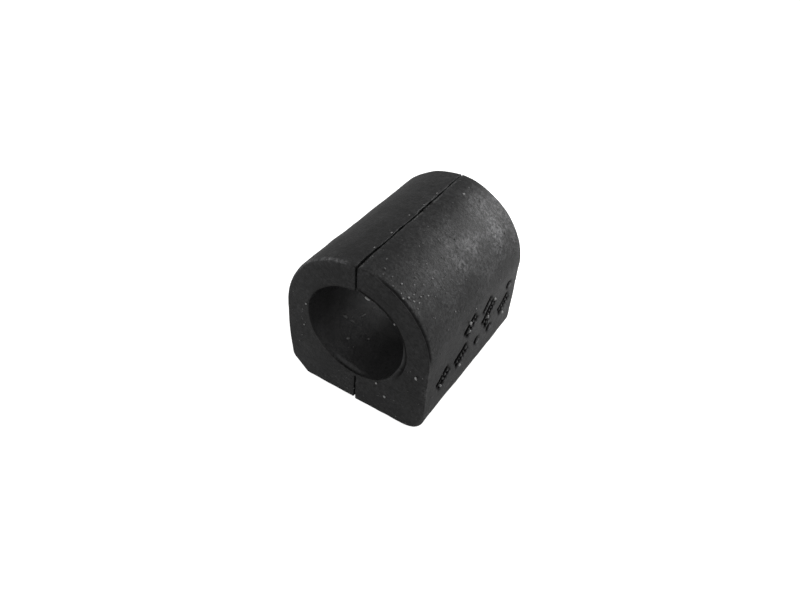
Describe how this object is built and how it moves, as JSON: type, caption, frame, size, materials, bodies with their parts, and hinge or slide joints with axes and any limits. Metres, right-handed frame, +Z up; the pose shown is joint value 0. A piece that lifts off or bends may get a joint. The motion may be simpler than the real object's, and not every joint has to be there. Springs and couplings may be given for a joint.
{
  "type": "sway bar bushing",
  "caption": "D-shaped block of black rubber with a round bore for a sway bar, a slit through its dome that opens over the bar, and a flat base held down by a strap.",
  "frame": {"origin": "centre of the bore at mid-length", "axes": "+Y along the bore toward the back face, +Z up from the flat base to the dome, +X toward the side wall with the raised marks"},
  "size_m": [0.0354, 0.0406, 0.0375],
  "materials": {
    "rubber": "matte, with a dusty bloom"
  },
  "bodies": {
    "root": {"bushing": "rubber"}
  },
  "joints": []
}
